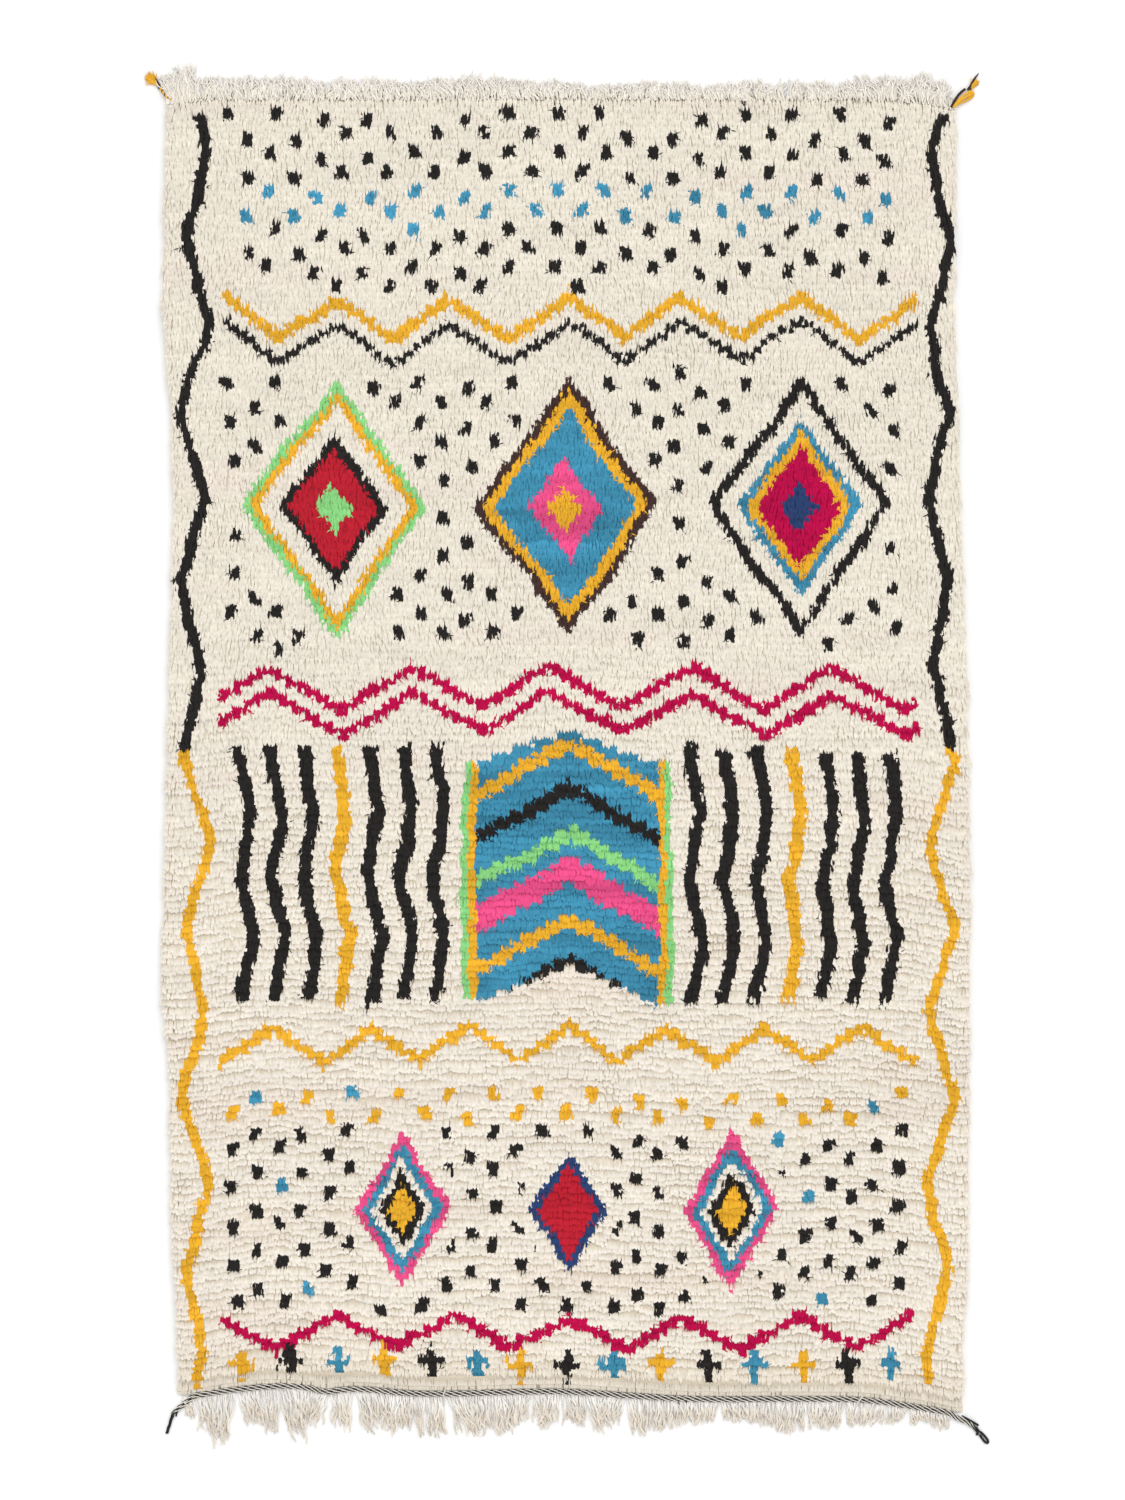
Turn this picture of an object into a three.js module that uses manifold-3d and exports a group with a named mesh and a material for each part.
// A hand-knotted wool rug that lies flat on the floor: a thick lumpy pile with locks at its rim,
// a short fringe at the top end, a long fringe and a twined edging at the bottom end, and a
// small tassel at each top corner. Sizes are in millimetres. X runs across the rug, Y along it
// with the top end at +Y, and Z is up from the floor.

import * as THREE from 'three';
import { mergeVertices } from 'three/addons/utils/BufferGeometryUtils.js';
import Module from 'manifold-3d';

const wasm = await Module();
wasm.setup();

// Every piece that touches another keeps this gap to it.
const GAP = 0.3;

// The pile: its mean height, how far its lumps and rows rise and fall, and its rim.
const PILE_HEIGHT = 19;
const LUMP_RISE = 1.9;
const LUMP_ACROSS = 61;
const LUMP_ALONG = 83;
const LUMP_WANDER = 125;
const ROW_RISE = 0.8;
const RIM_WIDTH = 13;
const RIM_EVENNESS = 0.6;
const SHOULDER_HEIGHT = 16;
const SIDE_LOCK_HEIGHT = 6;
const END_LOCK_HEIGHT = 2.2;
const LOCK_REACH = 6;
const UNDERCUT = 5;
const COLUMNS = 26;
const ROWS = 84;

// The side edges, as the rug lies: how far each is from the middle line at places along it.
const SIDE_EDGES = [
  { y: -1262, left: -748, right: 760 },
  { y: -1210, left: -750, right: 761 },
  { y: -1100, left: -755, right: 762 },
  { y: -910, left: -764, right: 773 },
  { y: -620, left: -768, right: 774 },
  { y: -430, left: -783, right: 776 },
  { y: -240, left: -779, right: 776 },
  { y: -45, left: -774, right: 772 },
  { y: 145, left: -770, right: 770 },
  { y: 340, left: -764, right: 763 },
  { y: 530, left: -760, right: 756 },
  { y: 630, left: -764, right: 753 },
  { y: 915, left: -783, right: 745 },
  { y: 1010, left: -778, right: 746 },
  { y: 1262, left: -774, right: 749 },
];

// The two ends, left to right. The bottom one is the middle line of the twined edging.
const TOP_EDGE = [
  { x: -774, y: 1262 },
  { x: -700, y: 1269 },
  { x: 0, y: 1270 },
  { x: 500, y: 1267 },
  { x: 690, y: 1264 },
  { x: 749, y: 1250 },
];
const BOTTOM_EDGE = [
  { x: -741, y: -1235 },
  { x: -707, y: -1227 },
  { x: -607, y: -1214 },
  { x: -515, y: -1211 },
  { x: -467, y: -1221 },
  { x: -415, y: -1216 },
  { x: -288, y: -1225 },
  { x: -15, y: -1221 },
  { x: 106, y: -1228 },
  { x: 234, y: -1235 },
  { x: 564, y: -1237 },
  { x: 634, y: -1245 },
  { x: 689, y: -1254 },
  { x: 752, y: -1267 },
];

// The flat-woven headings, and the locks of yarn that grow from them. A lock shorter than
// FULL_LOCK is thinner too. Reach is from the pile's rim to a lock's tip.
const FULL_LOCK = 50;
const LOCK_SWAY = 1.5;
const ROOT_DEPTH = 0.4;
const TIP_TAPER = 0.8;
const TOP_FRINGE = {
  side: 1,
  stripWidth: 8,
  stripHeight: 4,
  locks: 116,
  inClump: 4,
  pull: 0.2,
  lean: 5,
  rootWidth: 7.6,
  bellyWidth: 8.6,
  rootHeight: 3,
  bellyHeight: 6,
  rings: 2,
  ragged: 0.14,
  lengths: [
    { x: -774, reach: 58 },
    { x: -740, reach: 59 },
    { x: -726, reach: 30 },
    { x: -711, reach: 52 },
    { x: -694, reach: 42 },
    { x: -680, reach: 28 },
    { x: -637, reach: 46 },
    { x: -560, reach: 40 },
    { x: -400, reach: 34 },
    { x: -322, reach: 31 },
    { x: -176, reach: 41 },
    { x: -102, reach: 34 },
    { x: 44, reach: 29 },
    { x: 253, reach: 26 },
    { x: 393, reach: 32 },
    { x: 481, reach: 33 },
    { x: 525, reach: 25 },
    { x: 562, reach: 40 },
    { x: 643, reach: 41 },
    { x: 657, reach: 18 },
    { x: 672, reach: 48 },
    { x: 700, reach: 49 },
    { x: 712, reach: 28 },
    { x: 722, reach: 56 },
    { x: 749, reach: 42 },
  ],
};
const BOTTOM_FRINGE = {
  side: -1,
  stripWidth: 12,
  stripHeight: 2.5,
  locks: 124,
  inClump: 5,
  pull: 0.3,
  lean: 7,
  rootWidth: 5.4,
  bellyWidth: 5.8,
  rootHeight: 2,
  bellyHeight: 3.6,
  rings: 3,
  ragged: 0.12,
  lengths: [
    { x: -741, reach: 46 },
    { x: -720, reach: 63 },
    { x: -702, reach: 81 },
    { x: -666, reach: 104 },
    { x: -622, reach: 83 },
    { x: -595, reach: 103 },
    { x: -566, reach: 97 },
    { x: -537, reach: 103 },
    { x: -493, reach: 68 },
    { x: -474, reach: 87 },
    { x: -457, reach: 74 },
    { x: -420, reach: 80 },
    { x: -353, reach: 90 },
    { x: -317, reach: 76 },
    { x: -257, reach: 82 },
    { x: -209, reach: 96 },
    { x: -172, reach: 96 },
    { x: -117, reach: 83 },
    { x: -88, reach: 71 },
    { x: -36, reach: 82 },
    { x: 0, reach: 71 },
    { x: 48, reach: 84 },
    { x: 96, reach: 66 },
    { x: 132, reach: 74 },
    { x: 228, reach: 54 },
    { x: 308, reach: 50 },
    { x: 444, reach: 70 },
    { x: 474, reach: 60 },
    { x: 547, reach: 63 },
    { x: 613, reach: 50 },
    { x: 650, reach: 44 },
    { x: 687, reach: 24 },
    { x: 722, reach: 40 },
    { x: 752, reach: 22 },
  ],
};

// The twined edging lies over the bottom heading and runs on at both corners.
const TWINE_WIDTH = 11;
const TWINE_ROOM = 1.8;
const TWINE_HEIGHT = 6.4;
const TWIST_PITCH = 15;
const TWIST_RISE = 0.16;
const TWINE_DROP = 26;
const TWINE_END_SIZE = 0.45;
const TWINE_TAPER = 0.11;
const LEFT_END = [
  { x: -772, y: -1302 },
  { x: -765, y: -1285 },
  { x: -757, y: -1257 },
];
const RIGHT_END = [
  { x: 780, y: -1287 },
  { x: 795, y: -1304 },
  { x: 812, y: -1327 },
];

// The corner tassels: a twisted neck from the corner to a knot, and a brush of locks.
const NECK_RADIUS = 2.3;
const NECK_STEPS = 5;
const KNOT_RADIUS = 4.2;
const KNOT_SQUASH = 0.8;
const BRUSH_WIDTHS = [1, 2.3, 2.6];
const BRUSH_HEIGHTS = [2.4, 3.2, 2.4];
const TASSELS = [
  {
    name: 'tassel_left',
    colour: 0xe6b02a,
    root: { x: -765, y: 1265 },
    bend: { x: -778, y: 1273 },
    knot: { x: -786, y: 1287 },
    reach: 36,
    heading: 139,
    spread: 34,
    locks: 9,
  },
  {
    name: 'tassel_right',
    colour: 0xd9a426,
    root: { x: 747.5, y: 1251.2 },
    bend: { x: 757, y: 1268 },
    knot: { x: 771, y: 1281 },
    reach: 39,
    heading: 66,
    spread: 40,
    locks: 9,
  },
];

const COLOURS = {
  pile: 0xefe8d9,
  warp: 0xe9e3d8,
  twine: 0x55524e,
};

// A value of a table's column at a place, eased between the rows on either side.
function readTable(rows, by, place, column) {
  const ahead = rows.findIndex((row) => row[by] >= place);
  if (ahead === 0) return rows[0][column];
  if (ahead < 0) return rows[rows.length - 1][column];
  const before = rows[ahead - 1];
  const after = rows[ahead];
  const t = (place - before[by]) / (after[by] - before[by]);
  return THREE.MathUtils.lerp(before[column], after[column], t * t * (3 - 2 * t));
}

// A repeatable number from -1 to 1 for each whole number.
function scatter(n) {
  const wave = Math.sin(n * 12.9898 + 4.1414) * 43758.5453;
  return 2 * (wave - Math.floor(wave)) - 1;
}

// Stops from 0 to 1, with a narrow first and last step for the rim.
function stopsWithRim(count, rim) {
  const inner = Array.from({ length: count - 1 }, (_, i) => rim + ((1 - 2 * rim) * i) / (count - 2));
  return [0, ...inner, 1];
}

function meshGeometry(points, faces) {
  const geometry = new THREE.BufferGeometry();
  geometry.setAttribute('position', new THREE.Float32BufferAttribute(points.flat(), 3));
  geometry.setIndex(faces.flat());
  return geometry;
}

function toSolid(geometry) {
  const bare = geometry.clone();
  bare.deleteAttribute('normal');
  bare.deleteAttribute('uv');
  const merged = mergeVertices(bare, 1e-4);
  return new wasm.Manifold(
    new wasm.Mesh({
      numProp: 3,
      vertProperties: new Float32Array(merged.attributes.position.array),
      triVerts: new Uint32Array(merged.index.array),
    }),
  );
}

function joined(geometries) {
  const solids = geometries.map(toSolid);
  const whole = solids.reduce((sum, solid) => sum.add(solid));
  const mesh = whole.getMesh();
  const geometry = new THREE.BufferGeometry();
  geometry.setAttribute('position', new THREE.Float32BufferAttribute(mesh.vertProperties, 3));
  geometry.setIndex(Array.from(mesh.triVerts));
  return geometry;
}

// Rings of points, all with the same count, skinned into a closed tube. Each ring runs
// anticlockwise as seen from beyond the tube's far end.
function skinned(rings) {
  const points = rings.flat();
  const sides = rings[0].length;
  const faces = [];
  for (let r = 0; r < rings.length - 1; r += 1) {
    for (let s = 0; s < sides; s += 1) {
      const a = r * sides + s;
      const b = r * sides + ((s + 1) % sides);
      faces.push([a, b, b + sides], [a, b + sides, a + sides]);
    }
  }
  const far = (rings.length - 1) * sides;
  for (let s = 1; s < sides - 1; s += 1) {
    faces.push([0, s + 1, s], [far, far + s, far + s + 1]);
  }
  return meshGeometry(points, faces);
}

// The end rims of the pile as straight stretches between its columns.
function endRim(edge, sideY, offset) {
  const left = readTable(SIDE_EDGES, 'y', sideY, 'left');
  const right = readTable(SIDE_EDGES, 'y', sideY, 'right');
  return stopsWithRim(COLUMNS, RIM_WIDTH / (right - left)).map((u) => {
    const x = THREE.MathUtils.lerp(left, right, u);
    return { x, y: readTable(edge, 'x', x, 'y') + offset };
  });
}

const TOP_RIM = endRim(TOP_EDGE, TOP_EDGE[0].y, 0);
const BOTTOM_RIM = endRim(BOTTOM_EDGE, BOTTOM_EDGE[0].y, TWINE_WIDTH / 2 + TWINE_ROOM);

// The height of the pile's face: broad lumps, and the soft steps of its shingled rows.
function pileHeight(x, y, row) {
  const across = Math.sin(x / LUMP_ACROSS + 1.3 * Math.sin(y / LUMP_WANDER));
  const along = Math.sin(y / LUMP_ALONG + 0.9 * Math.sin(x / LUMP_WANDER));
  const small = 0.4 * Math.sin((2 * x) / LUMP_ACROSS + (2 * y) / LUMP_ALONG);
  return PILE_HEIGHT + LUMP_RISE * (across * along + small) + ROW_RISE * (row % 2 ? 1 : -1);
}

function pileSlab() {
  const length = TOP_RIM[0].y - BOTTOM_RIM[0].y;
  const alongStops = stopsWithRim(ROWS, RIM_WIDTH / length);
  const points = [];
  const wide = COLUMNS + 1;
  alongStops.forEach((v, row) => {
    const sideY = THREE.MathUtils.lerp(BOTTOM_RIM[0].y, TOP_RIM[0].y, v);
    const left = readTable(SIDE_EDGES, 'y', sideY, 'left');
    const right = readTable(SIDE_EDGES, 'y', sideY, 'right');
    const acrossStops = stopsWithRim(COLUMNS, RIM_WIDTH / (right - left));
    const atEnd = row === 0 || row === ROWS;
    const endRow = row === 0 ? BOTTOM_RIM : TOP_RIM;
    const lockIn = row % 2 ? 0 : LOCK_REACH * (0.7 + 0.3 * scatter(row));
    acrossStops.forEach((u, column) => {
      const atSide = column === 0 || column === COLUMNS;
      const inward = atSide ? lockIn * Math.sign(COLUMNS / 2 - column) : 0;
      const x = atEnd ? endRow[column].x : THREE.MathUtils.lerp(left, right, u) + inward;
      const y = THREE.MathUtils.lerp(BOTTOM_RIM[column].y, TOP_RIM[column].y, v);
      const nearRim = row < 2 || row > ROWS - 2 || column < 2 || column > COLUMNS - 2;
      let z = pileHeight(x, y, row);
      if (nearRim) z = SHOULDER_HEIGHT + (z - PILE_HEIGHT) * RIM_EVENNESS;
      if (atSide) z = SIDE_LOCK_HEIGHT + scatter(row + column);
      if (atEnd) z = END_LOCK_HEIGHT;
      points.push([x, y, z]);
    });
  });
  const faces = [];
  for (let row = 0; row < ROWS; row += 1) {
    for (let column = 0; column < COLUMNS; column += 1) {
      const a = row * wide + column;
      const b = a + 1;
      faces.push([a, b, b + wide], [a, b + wide, a + wide]);
    }
  }
  const rim = [];
  for (let column = 0; column < COLUMNS; column += 1) rim.push(column);
  for (let row = 0; row < ROWS; row += 1) rim.push(row * wide + COLUMNS);
  for (let column = COLUMNS; column > 0; column -= 1) rim.push(ROWS * wide + column);
  for (let row = ROWS; row > 0; row -= 1) rim.push(row * wide);
  const foot = points.length;
  rim.forEach((index) => {
    const [x, y] = points[index];
    const edgeX = readTable(SIDE_EDGES, 'y', y, x < 0 ? 'left' : 'right');
    const onSide = index % wide === 0 || index % wide === COLUMNS;
    const onEnd = index < wide || index >= ROWS * wide;
    const footX = onSide ? edgeX - Math.sign(x) * (LOCK_REACH + UNDERCUT) : x;
    const footY = onEnd ? y - Math.sign(y) * UNDERCUT : y;
    points.push([footX, footY, 0]);
  });
  const middle = points.length;
  points.push([0, 0, 0]);
  rim.forEach((index, k) => {
    const next = (k + 1) % rim.length;
    faces.push([foot + k, foot + next, rim[next]], [foot + k, rim[next], index]);
    faces.push([middle, foot + next, foot + k]);
  });
  return meshGeometry(points, faces);
}

// One lock of yarn that lies on the floor: a flat underside and a ridge on top, from its root
// to a point. Across points to its right as seen from its root.
function lock(root, tip, sway, widths, heights) {
  const run = new THREE.Vector2(tip.x - root.x, tip.y - root.y);
  const across = new THREE.Vector2(run.y, -run.x).normalize();
  const stations = widths.map((width, n) => {
    const t = n / widths.length;
    const aside = sway * Math.sin(Math.PI * t);
    const x = root.x + run.x * t + across.x * aside;
    const y = root.y + run.y * t + across.y * aside;
    return [
      [x - (across.x * width) / 2, y - (across.y * width) / 2, 0],
      [x, y, heights[n]],
      [x + (across.x * width) / 2, y + (across.y * width) / 2, 0],
    ];
  });
  const points = [...stations.flat(), [tip.x, tip.y, 0]];
  const faces = [[0, 2, 1]];
  const end = points.length - 1;
  for (let n = 0; n < stations.length; n += 1) {
    for (let s = 0; s < 3; s += 1) {
      const a = n * 3 + s;
      const b = n * 3 + ((s + 1) % 3);
      if (n === stations.length - 1) faces.push([a, b, end]);
      else faces.push([a, b, b + 3], [a, b + 3, a + 3]);
    }
  }
  return meshGeometry(points, faces);
}

// A narrow flat strip beside an end of the pile, with its locks fused to its far wall.
function headingWithFringe(rim, fringe) {
  const inner = rim.slice(1, -1).map(({ x, y }) => ({ x, y: y + fringe.side * GAP }));
  const outer = inner.map(({ x, y }) => ({ x, y: y + fringe.side * fringe.stripWidth }));
  const rings = inner.map((near, n) => {
    const [low, high] = fringe.side > 0 ? [near, outer[n]] : [outer[n], near];
    return [
      [low.x, low.y, 0],
      [high.x, high.y, 0],
      [high.x, high.y, fringe.stripHeight],
      [low.x, low.y, fringe.stripHeight],
    ];
  });
  const strip = skinned(rings);
  const first = outer[0].x + fringe.rootWidth;
  const last = outer[outer.length - 1].x - fringe.rootWidth;
  const pitch = (last - first) / (fringe.locks - 1);
  const locks = [];
  for (let n = 0; n < fringe.locks; n += 1) {
    const x = first + pitch * n;
    const clump = Math.floor(n / fringe.inClump);
    const fromMiddle = (n % fringe.inClump) - (fringe.inClump - 1) / 2;
    const beyond = outer.findIndex((point) => point.x >= x);
    const t = (x - outer[beyond - 1].x) / (outer[beyond].x - outer[beyond - 1].x);
    const wallY = THREE.MathUtils.lerp(outer[beyond - 1].y, outer[beyond].y, t);
    const reach = readTable(fringe.lengths, 'x', x, 'reach') * (1 + fringe.ragged * scatter(n));
    const root = { x, y: wallY - fringe.side * fringe.stripWidth * ROOT_DEPTH };
    const drift = fringe.lean * scatter(clump + 0.5) - fringe.pull * fromMiddle * pitch;
    const tip = { x: x + drift, y: wallY + fringe.side * (reach - fringe.stripWidth) };
    const belly = Math.max(fringe.rootHeight, fringe.bellyHeight * Math.min(1, reach / FULL_LOCK));
    const widths = [fringe.rootWidth, fringe.bellyWidth, fringe.bellyWidth * TIP_TAPER];
    const heights = [fringe.rootHeight, belly, belly * TIP_TAPER];
    const sway = LOCK_SWAY * scatter(clump + 9.5);
    locks.push(lock(root, tip, sway, widths.slice(0, fringe.rings), heights));
  }
  return joined([strip, ...locks]);
}

// The edging's route: out of its left corner end, along the bottom edge, to its right end.
function twineRoute() {
  const route = [...LEFT_END, ...BOTTOM_EDGE, ...RIGHT_END];
  const curve = new THREE.CatmullRomCurve3(
    route.map(({ x, y }) => new THREE.Vector3(x, y, 0)),
    false,
    'centripetal',
  );
  const steps = Math.round((2 * curve.getLength()) / TWIST_PITCH);
  return curve.getSpacedPoints(steps);
}

// Two twisted yarns seen as one flat ridge whose left and right crowns rise in turn.
function twinedEdge() {
  const route = twineRoute();
  const raised = BOTTOM_FRINGE.stripHeight + GAP;
  const leftFoot = BOTTOM_RIM[1].x;
  const rightFoot = BOTTOM_RIM[COLUMNS - 1].x;
  const rings = route.map((point, n) => {
    const before = route[Math.max(n - 1, 0)];
    const after = route[Math.min(n + 1, route.length - 1)];
    const along = new THREE.Vector2(after.x - before.x, after.y - before.y).normalize();
    const beyond = Math.max(leftFoot - point.x, point.x - rightFoot) - TWINE_WIDTH * 0.7;
    const lift = raised * THREE.MathUtils.clamp(1 - beyond / TWINE_DROP, 0, 1);
    const fromEnd = Math.min(n, route.length - 1 - n);
    const size = Math.min(1, TWINE_END_SIZE + fromEnd * TWINE_TAPER);
    const swing = TWIST_RISE * (n % 2 ? 1 : -1);
    const section = [
      [-0.32, 0],
      [0.32, 0],
      [0.5, 0.45],
      [0.24, 1 - swing],
      [-0.24, 1 + swing],
      [-0.5, 0.45],
    ];
    return section.map(([aside, up]) => [
      point.x - along.y * aside * TWINE_WIDTH * size,
      point.y + along.x * aside * TWINE_WIDTH * size,
      lift + (up * TWINE_HEIGHT * size) / (1 + TWIST_RISE),
    ]);
  });
  return skinned(rings);
}

function tassel({ root, bend, knot, reach, heading, spread, locks }) {
  const neckCurve = new THREE.CatmullRomCurve3(
    [root, bend, knot].map(({ x, y }) => new THREE.Vector3(x, y, NECK_RADIUS)),
  );
  const path = neckCurve.getSpacedPoints(NECK_STEPS);
  const rings = path.map((point, n) => {
    const before = path[Math.max(n - 1, 0)];
    const after = path[Math.min(n + 1, path.length - 1)];
    const along = new THREE.Vector2(after.x - before.x, after.y - before.y).normalize();
    return Array.from({ length: 6 }, (_, s) => {
      const turn = ((s - 2) * Math.PI) / 3;
      const aside = (Math.cos(turn) * NECK_RADIUS) / Math.cos(Math.PI / 6);
      const up = (Math.sin(turn) * NECK_RADIUS) / Math.cos(Math.PI / 6);
      return [point.x - along.y * aside, point.y + along.x * aside, NECK_RADIUS + up];
    });
  });
  const ball = new THREE.SphereGeometry(KNOT_RADIUS, 10, 6);
  ball.rotateX(Math.PI / 2);
  ball.scale(1, 1, KNOT_SQUASH);
  ball.translate(knot.x, knot.y, KNOT_RADIUS * KNOT_SQUASH);
  const brush = Array.from({ length: locks }, (_, n) => {
    const share = n / (locks - 1) - 0.5;
    const angle = THREE.MathUtils.degToRad(heading + share * spread);
    const far = reach * (1 - 0.5 * share * share + 0.05 * scatter(n));
    const tip = { x: knot.x + Math.cos(angle) * far, y: knot.y + Math.sin(angle) * far };
    return lock(knot, tip, 0, BRUSH_WIDTHS, BRUSH_HEIGHTS);
  });
  return joined([skinned(rings), ball, ...brush]);
}

function piece(name, geometry, colour, roughness) {
  geometry.computeVertexNormals();
  const material = new THREE.MeshStandardMaterial({ color: colour, roughness, metalness: 0 });
  const mesh = new THREE.Mesh(geometry, material);
  mesh.name = name;
  return mesh;
}

const rug = new THREE.Group();
rug.add(piece('pile_slab', pileSlab(), COLOURS.pile, 0.95));
rug.add(piece('top_heading', headingWithFringe(TOP_RIM, TOP_FRINGE), COLOURS.warp, 0.95));
rug.add(piece('bottom_heading', headingWithFringe(BOTTOM_RIM, BOTTOM_FRINGE), COLOURS.warp, 0.95));
rug.add(piece('twined_edge', twinedEdge(), COLOURS.twine, 0.9));
TASSELS.forEach((row) => rug.add(piece(row.name, tassel(row), row.colour, 0.85)));

// The origin goes under the middle of the whole rug, on the floor.
const extent = new THREE.Box3().setFromObject(rug);
rug.position.set(-(extent.min.x + extent.max.x) / 2, -(extent.min.y + extent.max.y) / 2, 0);

const group = new THREE.Group();
group.add(rug);

export default group;
